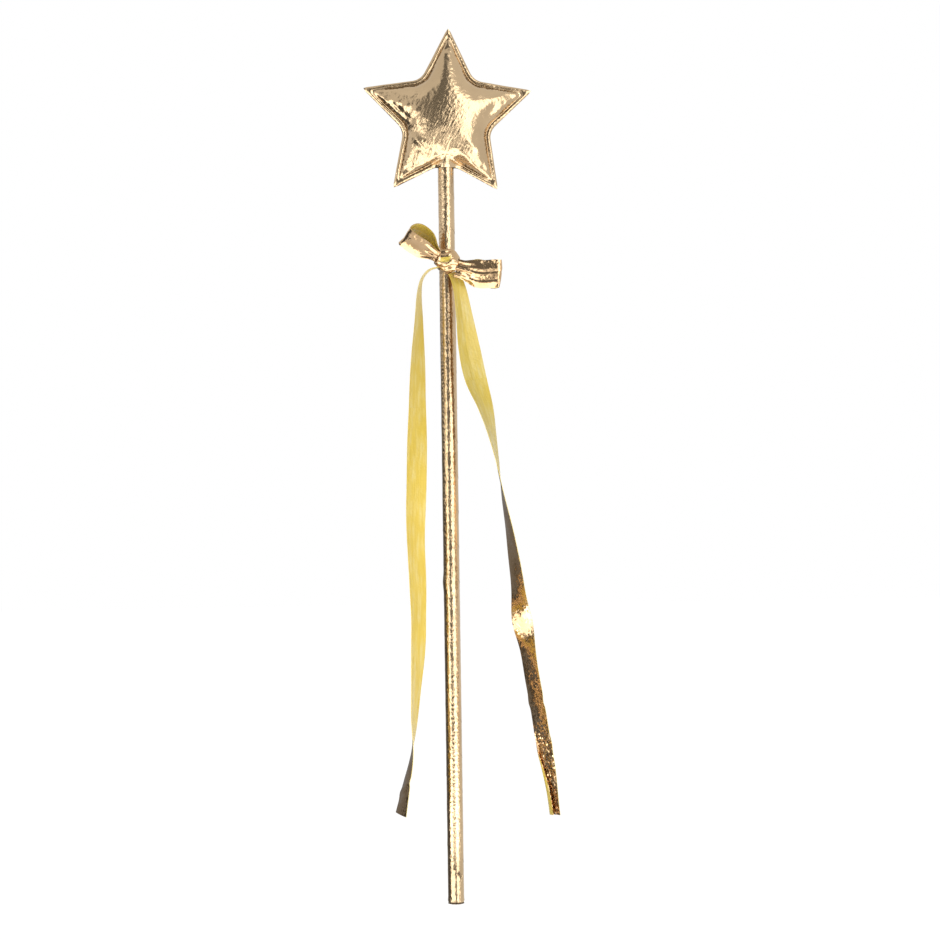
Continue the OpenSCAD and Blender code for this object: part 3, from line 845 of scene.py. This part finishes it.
stitch_in, stitch_add, stitch_close = tree_maker("stitches_along_lines", {
    "Pitch": 2.3 * MM,
    "Length": 1.75 * MM,
    "Thickness": 0.42 * MM,
})
stitch_line = stitch_add("GeometryNodeMeshToCurve", {"Mesh": stitch_in["Geometry"]})
stitch_places = stitch_add("GeometryNodeCurveToPoints", {
    "Curve": stitch_line.outputs[0], "Length": stitch_in["Pitch"],
}, mode="LENGTH")
stitch_form = stitch_add("GeometryNodeMeshUVSphere", {"Segments": 8, "Rings": 6, "Radius": 0.5})
stitch_size = stitch_add("ShaderNodeCombineXYZ", {
    0: stitch_in["Thickness"], 1: stitch_in["Thickness"], 2: stitch_in["Length"],
})
stitch_rows = stitch_add("GeometryNodeInstanceOnPoints", {
    "Points": stitch_places.outputs["Points"],
    "Instance": stitch_form.outputs["Mesh"],
    "Rotation": stitch_places.outputs["Rotation"],
    "Scale": stitch_size.outputs[0],
})
stitch_tree = stitch_close(stitch_rows.outputs[0], thread_finish)


def sewn(name, lines, node):
    """Stitches along open lines."""
    points, edges = [], []
    for line in lines:
        edges += [(len(points) + i, len(points) + i + 1) for i in range(len(line) - 1)]
        points += [tuple(p) for p in line]
    mesh = bpy.data.meshes.new(f"{name}_lines")
    mesh.from_pydata(points, edges, [])
    stitches = run_tree(name, stitch_tree, mesh)
    stitches.data.shade_smooth()
    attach(stitches, "wand")
    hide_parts(node)


seam_x, seam_z = ((seam_points + edge_points) / 2).T
open_half, flange_face = 7.5, panel_t + 0.5
sewn_shut = (np.abs(seam_x) >= open_half) | (seam_z >= 0)
needle_line, bobbin_line = [
    np.stack([seam_x, side * flange_face + seam_wave / 2, seam_z + star_height], -1)[sewn_shut] * MM
    for side in (-1, 1)
]
bpy.context.view_layer.update()
star_surface = BVHTree.FromObject(star_front, bpy.context.evaluated_depsgraph_get())


def on_star(x, z):
    """Point on the front of the star, in metres, from mm right and up of the star's centre."""
    hit = star_surface.ray_cast(Vector((x * MM, -0.1, (z + star_height) * MM)), Vector((0, 1, 0)))[0]
    return hit.x, hit.y - 0.06 * MM, hit.z


closing_arc = [on_star(x, -21.2 - 3.0 * ((x - 0.3) / 7.5) ** 2) for x in np.linspace(-7.4, 7.6, 16)]
closing_drop = [on_star(0.1, z) for z in np.linspace(-22.4, -24.8, 6)]
sewn("needle_stitches", [needle_line, closing_arc, closing_drop], "seam_needle_thread")
sewn("bobbin_stitches", [bobbin_line], "seam_bobbin_thread")


# Ribbon. A woven polyester ribbon with gold foil pressed on one face, so that its reverse keeps the
# yellow satin. It is tied round the stick in a bow under the star.
def ribbon_foil_finish():
    """Foil face: thin bright skin in small flakes, tilted most where the end of the right tail is worn."""
    finish, tree, foil = new_finish("ribbon_foil", {"Metallic": 1.0})
    place = object_place(tree)
    tone = texture(tree, "Noise", place, Scale=1 / (9 * MM), Detail=3.0)
    sparkle = texture(tree, "Noise", place, Scale=1 / (0.8 * MM), Detail=3.0, Roughness=0.7)
    tint(tree, foil, tone, (0.35, (0.50, 0.33, 0.17)), (0.65, (0.60, 0.41, 0.23)))
    tree.links.new(span(tree, sparkle, 0.08, 0.16), foil.inputs["Roughness"])
    away = vector_calc(tree, "DISTANCE", {0: place, 1: (50 * MM, -13 * MM, 70 * MM)})
    worn = span(tree, away, 0.16, 0.75, (34 * MM, 22 * MM))
    flakes = texture(tree, "Voronoi", place, "Color", Scale=1 / (1.0 * MM), Randomness=1.0)
    tilt = vector_calc(tree, "SUBTRACT", {0: flakes, 1: (0.5, 0.5, 0.5)})
    tilt = vector_calc(tree, "SCALE", {0: tilt, "Scale": worn})
    face_normal = add_node(tree, "ShaderNodeNewGeometry").outputs["Normal"]
    tilted = vector_calc(tree, "NORMALIZE", {0: vector_calc(tree, "ADD", {0: face_normal, 1: tilt})})
    bump(tree, foil, (sparkle, 0.05 * MM), normal=tilted)
    return finish


def ribbon_satin_finish():
    """Satin reverse: yellow floats along the ribbon, pale patches of painted sheen in its colour, a soft
    sheen and fine cross ribs.
    """
    finish, tree, satin = new_finish("ribbon_satin", {
        "Roughness": 0.33, "Specular IOR Level": 0.7, "Sheen Weight": 0.2, "Sheen Tint": (1.0, 0.9, 0.5, 1),
    })
    cloth = add_node(tree, "ShaderNodeUVMap", uv_map="cloth").outputs["UV"]
    floats = texture(tree, "Noise", stretched(tree, cloth, (60, 2600, 1)), Scale=1.0, Detail=3.0)
    ribs = texture(
        tree, "Wave", stretched(tree, cloth, (1 / (0.45 * MM), 200, 1)), Scale=0.32, Distortion=0.6,
        bands_direction="X",
    )
    painted_sheen_patches = texture(
        tree, "Noise", stretched(tree, cloth, (1 / (16 * MM), 1 / (3.5 * MM), 1)), Scale=1.0, Detail=4.0,
        Roughness=0.65,
    )
    mottle = texture(tree, "Noise", object_place(tree), Scale=1 / (1.6 * MM), Detail=3.0)
    # Painted sheen: pale patches mixed into the base colour stand in for the satin's highlights.
    painted_sheen_colour = add_node(tree, "ShaderNodeMix", {
        "Factor": ramp(tree, painted_sheen_patches, (0.46, (0, 0, 0)), (0.74, (0.5, 0.5, 0.5))),
        "A": ramp(tree, floats, (0.3, (0.72, 0.51, 0.055)), (0.7, (0.85, 0.65, 0.11))),
        "B": (0.92, 0.85, 0.50, 1),
    }, data_type="RGBA")
    tree.links.new(painted_sheen_colour.outputs["Result"], satin.inputs["Base Color"])
    bump(tree, satin, (mottle, 0.22 * MM), (ribs, 0.02 * MM), (floats, 0.03 * MM))
    return finish


ribbon_foil, ribbon_satin = ribbon_foil_finish(), ribbon_satin_finish()
ribbon_w, ribbon_t, gather_w = 15.0, 0.26, 8.0
knot_at = np.array([1.0, -10.8, 353.0])


def on_route(route, u):
    """Smooth curve through a list of points, with u counted in points."""
    n = len(route) - 1
    i = min(n - 1, max(0, int(math.floor(u))))
    t = u - i
    b, c = route[i], route[i + 1]
    a = route[i - 1] if i > 0 else 2 * b - c
    d = route[i + 2] if i < n - 1 else 2 * c - b
    return b + t / 2 * (c - a) + t * t * (a - 2.5 * b + 2 * c - d / 2) + t ** 3 / 2 * (3 * b - 3 * c + d - a)


def unit(v):
    return v / np.linalg.norm(v, axis=-1, keepdims=True)


def ribbon_solid(name, mids, halves, foil_first, shape, across):
    """Thin ribbon of two faces and four edges along stations of middle and half width.

    shape(i, s) gives the offset along the half width and along the face, in mm, at station i and place
    s from -1 to 1 across. foil_first tells whether the face along cross(width, length) is the foil."""
    along = unit(np.gradient(mids, axis=0))
    halves = halves - np.sum(halves * along, axis=1, keepdims=True) * along
    width = np.linalg.norm(halves, axis=1)
    side = unit(halves)
    face = unit(np.cross(side, along))
    places = np.linspace(-1, 1, across + 1)
    middle = np.zeros((len(mids), across + 1, 3))
    for i in range(len(mids)):
        for k, s in enumerate(places):
            wide, lift = shape(i, s)
            middle[i, k] = mids[i] + side[i] * (width[i] * s + wide) + face[i] * lift
    normal = unit(np.cross(np.gradient(middle, axis=1), np.gradient(middle, axis=0)))
    one, two = middle + normal * ribbon_t / 2, middle - normal * ribbon_t / 2
    ring = np.concatenate([one, two[:, ::-1]], axis=1)
    top, low = (0, 1) if foil_first else (1, 0)

    def face_of(polygon):
        return top if polygon.index % ring.shape[1] <= across else low

    across_uv = (np.r_[places, places[::-1]] + 1) / 2 * ribbon_w * MM
    piece = cloth_grid(
        name, ring * MM, [ribbon_foil, ribbon_satin], face_of, closed=True, capped=across,
        uv=(run_along(mids) * MM, across_uv),
    )
    smooth(piece, 50)
    if piece.data.polygons[across // 2].normal.dot(Vector(normal[0, across // 2])) < 0:
        piece.data.flip_normals()
    return piece


# Band. The middle of the ribbon goes once round the stick, foil outside. It is drawn together into
# pleats by the knot and holds by friction, so that the bow can be slid and turned.
band_in, band_high, band_pleats = 4.95, 8.0, 5
band_turn = np.linspace(0, 360, 97)[:-1]
band_rows = []
for s in np.linspace(-1, 1, 41):
    wander = 0.25 * sind(band_turn + 50) + 0.12 * sind(2 * band_turn)
    fold = 0.5 + 0.45 * np.cos(np.pi * band_pleats * s + wander)
    radius = band_in + 0.12 + fold * 0.85 * (1 - 0.5 * abs(s) ** 4)
    height = knot_at[2] + band_high / 2 * s + 0.25 * sind(band_turn + 200)
    band_rows.append(round_stick(band_turn, radius, height))
ribbon_round = cloth_grid("ribbon_round", np.array(band_rows) * MM, [ribbon_foil], closed=True)
face_out(ribbon_round)
smooth(ribbon_round)
thicken(ribbon_round, 0.1 * MM)
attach(ribbon_round, "bow_band")
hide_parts("ribbon_band")


# Knot. The ribbon's last turn of the bow, pulled tight over the crossing. Its pleats run slantwise from
# one loop to the other, and one of them has rolled over and shows the satin.
knot_w, knot_h, knot_tilt = 13.0, 12.0, 25.0
wound_length, wound_high, wound_deep, wound_back = 11.6, 11.6, 9.6, 4.35
knot_slant = 34
knot_lon = np.linspace(0, 360, 145)[:-1]
knot_lat = np.linspace(-1, 1, 49)
knot_rows = []
for s in knot_lat:
    belly = 0.66 + 0.34 * np.sqrt(max(0.0, 1 - s * s)) + 0.05 * math.sin(4 * s + 1)
    swirl = knot_lon + knot_slant * s + 9 * math.sin(3 * s)
    folds = np.abs(cosd(3.5 * swirl + 20)) ** 0.8 + 0.6 * np.abs(cosd(2 * swirl - 35 + 20 * s)) ** 0.7 - 0.95
    full = belly * (1 + 0.16 * folds) / 2
    up = wound_high * full * sind(knot_lon)
    out = np.minimum(wound_deep * full * cosd(knot_lon), wound_back)
    x = wound_length / 2 * s + 0.6 * sind(2 * knot_lon + 40) + 0.3 * sind(5 * knot_lon)
    knot_rows.append(knot_at + np.stack([
        x * cosd(knot_tilt) + up * sind(knot_tilt) - 0.6,
        out,
        up * cosd(knot_tilt) - x * sind(knot_tilt) + 0.3,
    ], -1))


def knot_finish(polygon):
    lat, lon = divmod(polygon.index, len(knot_lon))
    s = knot_lat[lat]
    rolled = abs(knot_lon[lon] - 172 + knot_slant * s) < 16 and -0.75 < s < 0.1
    return 1 if rolled else 0


ribbon_tie = cloth_grid(
    "ribbon_tie", np.array(knot_rows) * MM, [ribbon_foil, ribbon_satin], knot_finish, closed=True
)
face_out(ribbon_tie, knot_at * MM)
smooth(ribbon_tie, 60)
thicken(ribbon_tie, 0.2 * MM)
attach(ribbon_tie, "bow_knot")
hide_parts("ribbon_knot")


# Loops. Each is a bight of the ribbon with its foil outside, pinched into pleats where both of its ends
# go into the knot. The left loop stands up and shows its satin inside, the right one hangs out level.
def knot_side(direction, gap):
    """Way from the middle of the knot to a gap in mm clear of its outside, in a direction."""
    d = unit(np.array(direction, float))
    lengthwise = d[0] * cosd(knot_tilt) - d[2] * sind(knot_tilt)
    up = d[0] * sind(knot_tilt) + d[2] * cosd(knot_tilt)
    return (1 / np.hypot(lengthwise * 2 / knot_w, up * 2 / knot_h) + gap) * d


def bow_loop(name, base, out, across, route, foil_first, pleats, pinched, profile, node):
    """Loop along a route of out, across, sideways and turn, pinched to a width at the knot."""
    out, across = unit(np.array(out, float)), unit(np.array(across, float))
    width = unit(np.cross(out, across))
    route = np.array(route, float)
    steps = np.linspace(0, len(route) - 1, 121)
    p = np.array([on_route(route, u) for u in steps])
    tuck, tuck_reach, spread_reach, pleat_reach, fold_reach = 2.4, 5, 9, 10, 6
    p[:, 0] -= tuck * (1 - ease(p[:, 0] / tuck_reach))
    mids = base + p[:, :1] * out + p[:, 1:2] * across + p[:, 2:3] * width
    half = (pinched + (ribbon_w - pinched) * ease(p[:, 0] / spread_reach)) / 2
    halves = half[:, None] * (cosd(p[:, 3:4]) * width + sind(p[:, 3:4]) * across)

    def pleated(i, s):
        near = 1 - ease(p[i, 0] / pleat_reach)
        lift = pleats * near * (math.cos(2.5 * math.pi * s + 0.8) + 0.4 * math.cos(5.5 * math.pi * s))
        front = 1 - ease((steps[i] / steps[-1] - 0.42) / 0.12)
        return 0.0, lift + float(ease(p[i, 0] / fold_reach)) * profile(s, float(front))

    loop = ribbon_solid(name, mids, halves, foil_first, pleated, across=36)
    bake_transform(loop)
    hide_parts(node)


def left_cup(s, front):
    return -0.5 * s * s + 0.25 * math.sin(4 * s) * front


def right_folds(s, front):
    """Lengthwise folds of the near side: flat above, then two slopes that look down, then a turned edge."""
    folds = np.interp(s, [-1, -0.35, -0.1, 0, 0.45, 0.6, 1], [0.3, 0.6, -0.3, -0.1, -1.75, -1.8, -4.0])
    return float(folds) * front - 0.8 * s * s * (1 - front)


bow_loop(
    "loop_left", knot_at + knot_side((-0.88, 0, 0.47), 0.9), (-0.76, 0, 0.65), (0.49, 0.65, 0.58),
    [(0, -0.5, 0, 0), (6, -2.7, 0, 0), (12, -4.0, 0, 0), (17, -4.6, 0, 0), (19.3, -4.4, 0, 0),
     (19.9, -2.8, 0, 0), (18.6, 1.2, 0, 0), (15.5, 3.5, 0, 0), (11, 3.9, 0, 0), (6, 2.6, 0, 0),
     (0, 0.5, 0, 0)],
    False, 0.5, gather_w, left_cup, "ribbon_loop_left",
)
bow_loop(
    "loop_right", knot_at + knot_side((1, 0, 0), 0.3) - [0, 0, 4.2], (1, 0, -0.06), (0, -1, 0),
    [(0, 2.6, 0, 0), (5, 3.3, 1.6, 0), (11, 4.1, 2.6, 3), (18, 4.3, 1.9, 6), (21.2, 4.0, 1.8, 8),
     (22.2, 2.0, 1.9, 9), (21.2, -0.6, 2.2, 8), (18, -2, 2.7, 6), (11, -2.5, 2.0, 3), (5, -1.8, 1.2, 0),
     (0, -0.5, 0, 0)],
    True, 0.45, 10.5, right_folds, "ribbon_loop_right",
)


# Tails. The two ends of the ribbon hang free beside the stick. Each turns slowly about its own length, so
# that the satin shows above and the foil below, and each is creased where the ribbon was folded in its pack.
def tail_pieces(side, route, swing_at, bend_at, cut_at, curl):
    """Upper and lower length of a tail along a route of right, back, up and turn from the knot.

    The place where it is divided is counted in points of the route; swing_at and bend_at are not used."""
    route = np.array(route, float)
    stations_each, spread_reach = 14, 50
    upper, lower = f"tail_{side}_upper", f"tail_{side}_lower"
    for name, low, high, bodies, at, reach, nodes in (
        (upper, 0, cut_at, ("bow_knot", upper), swing_at, 5.0, ("root", "upper")),
        (lower, cut_at, len(route) - 1, (upper, lower), bend_at, 10.0, ("lower",)),
    ):
        steps = np.linspace(low, high, (high - low) * stations_each + 1)
        p = np.array([on_route(route, u) for u in steps])
        far = np.linalg.norm(p[:, :3] - route[0, :3], axis=1)
        half = (gather_w + (ribbon_w - gather_w) * ease(far / spread_reach)) / 2
        halves = half[:, None] * np.stack([cosd(p[:, 3]), sind(p[:, 3]), 0 * steps], -1)
        mids = knot_at + p[:, :3]
        tail = ribbon_solid(name, mids, halves, True, lambda i, s: curl(far[i], s), across=40)
        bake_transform(tail)
        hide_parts(*[f"ribbon_tail_{side}_{n}" for n in nodes])


def left_curl(far, s):
    """Slight cup, ripples and one pack crease."""
    crease = 0.5 * math.exp(-((far - 285 - 4 * s) / 2.2) ** 2)
    cup = -0.7 * ease(far / 40) * s * s
    ripple = 0.25 * math.sin(far / 17) + 0.12 * math.sin(far / 6.1 + 2 * s)
    return 0.0, cup + (ripple + crease) * float(ease(far / 25))


def right_curl(far, s):
    """Lengthwise fold at the knot, a twist in the middle, pack creases, left edge folded over below."""
    half = ribbon_w / 2
    fold = 1.7 * math.exp(-((far - 30) / 34) ** 2) * (0.6 - abs(s))
    caught = math.exp(-((far - 195) / 12.0) ** 2)
    twist = 3.2 * s * caught
    crease = 0.6 * math.exp(-((far - 239) / 2.5) ** 2) - 0.5 * math.exp(-((far - 262) / 3.5) ** 2)
    ripple = 0.25 * math.sin(far / 15) + 0.12 * math.sin(far / 5.3 + 3 * s)
    lift = (fold + ripple + crease) * float(ease(far / 20)) - 0.3 * s * s + twist
    wide = -0.28 * half * s * caught
    folded, bend, turn = 1 - 0.8 * float(ease((far - 248) / 50)), 0.6, 3.05
    over_edge = (s - folded) * half
    if over_edge > 0:
        angle = min(over_edge / bend, turn)
        flap = over_edge - bend * angle
        wide = bend * math.sin(angle) + flap * math.cos(angle) - over_edge
        lift += bend * (1 - math.cos(angle)) + flap * math.sin(angle)
    return wide, lift


left_root = knot_side((-0.87, 0, -0.5), 0.3)
right_root = knot_side((0.36, 0, -0.93), 0.3) + [0, 2.5, 0]
tail_pieces(
    "left",
    [(*left_root, 84), (-11, 0, -5, 83), (-15, 0, -10, 83), (-16.5, 0, -18, 78), (-17, -1, -31, 71),
     (-18, -2, -50, 63), (-19, -3, -80, 52), (-19.5, -3, -115, 44), (-20.5, -2, -150, 50),
     (-20, -1, -185, 56), (-20.5, -1, -215, 62), (-22.5, -2, -246, 76), (-24, -3, -267, 92),
     (-27.8, -3, -285, 106), (-31.2, -2.6, -302, 114)],
    3, 8, 6, left_curl,
)
tail_pieces(
    "right",
    [(*right_root, 35), (4.3, 2.3, -11, 35), (6, 1.5, -18, 36), (8, 0, -32, 38), (10, -1, -48, 36),
     (13.5, -2, -65, 36), (18.5, -3, -81, 56), (22.5, -3, -97, 74), (26.5, -2.5, -120, 90),
     (29.5, -2, -140, 101), (33, -1.5, -164, 113), (36, -1.5, -190, 119), (40, -2, -213, 121),
     (45, -3, -247, 122), (50, -3, -280, 122), (53, -2, -303, 116)],
    2, 8, 5, right_curl,
)
